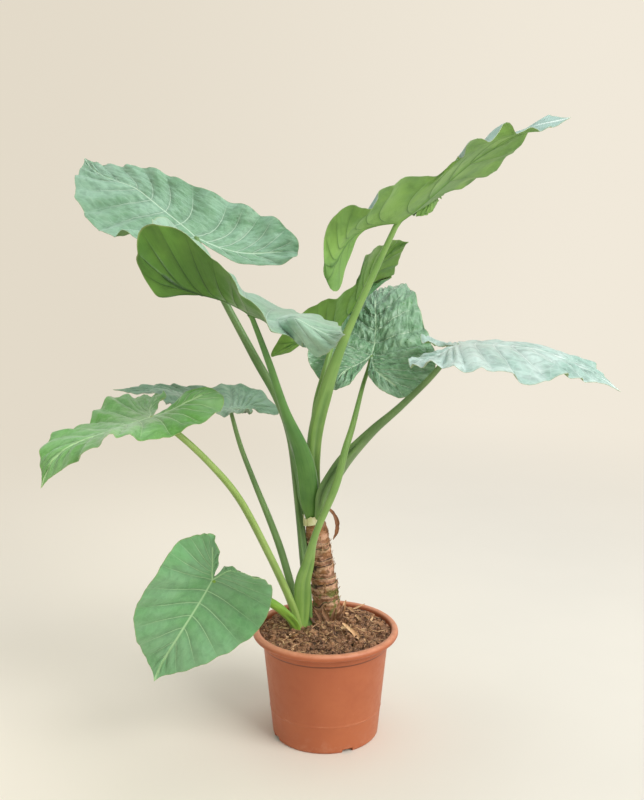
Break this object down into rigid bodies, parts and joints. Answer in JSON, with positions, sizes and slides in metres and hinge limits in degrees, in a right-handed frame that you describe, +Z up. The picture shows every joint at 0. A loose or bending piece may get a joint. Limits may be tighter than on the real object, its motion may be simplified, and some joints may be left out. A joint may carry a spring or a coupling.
{
  "type": "potted plant",
  "caption": "Alocasia houseplant with large heart-shaped waved leaves on long arching stalks, a short ringed trunk and a round terracotta-coloured pot filled with soil.",
  "frame": {"origin": "centre of the pot's flat base, on the floor", "axes": "+Z up along the pot's axis, -Y towards the front of the plant as pictured, +X to its right"},
  "size_m": [1.1073, 0.8454, 1.2465],
  "materials": {
    "pot": "satin moulded plastic",
    "soil": "loose peat with fibres and chips",
    "trunk": "rough, ringed with leaf scars",
    "sheath_stub": "dull cut plant tissue",
    "dry_sheath": "dry and papery",
    "blade_glaucous": "waxy blue-green leaf, darker veined underside",
    "blade_deep": "satin deep green leaf",
    "blade_fresh": "satin fresh green leaf",
    "petiole_light": "smooth satin stalk",
    "petiole_dark": "smooth satin stalk"
  },
  "bodies": {
    "root": {"pot": "pot", "soil": "soil", "trunk": "trunk", "sheath_stub": "sheath_stub", "dry_sheath": "dry_sheath", "blade_1": "blade_glaucous", "blade_2": "blade_glaucous", "blade_3": "blade_glaucous", "blade_4": "blade_glaucous", "blade_5": "blade_glaucous", "blade_6": "blade_deep", "blade_7": "blade_fresh", "blade_8": "blade_deep", "blade_9": "blade_deep", "petiole_1": "petiole_dark", "petiole_2": "petiole_light", "petiole_3": "petiole_light", "petiole_4": "petiole_light", "petiole_5": "petiole_dark", "petiole_6": "petiole_light", "petiole_7": "petiole_light", "petiole_8": "petiole_dark", "petiole_9": "petiole_dark"}
  },
  "joints": []
}
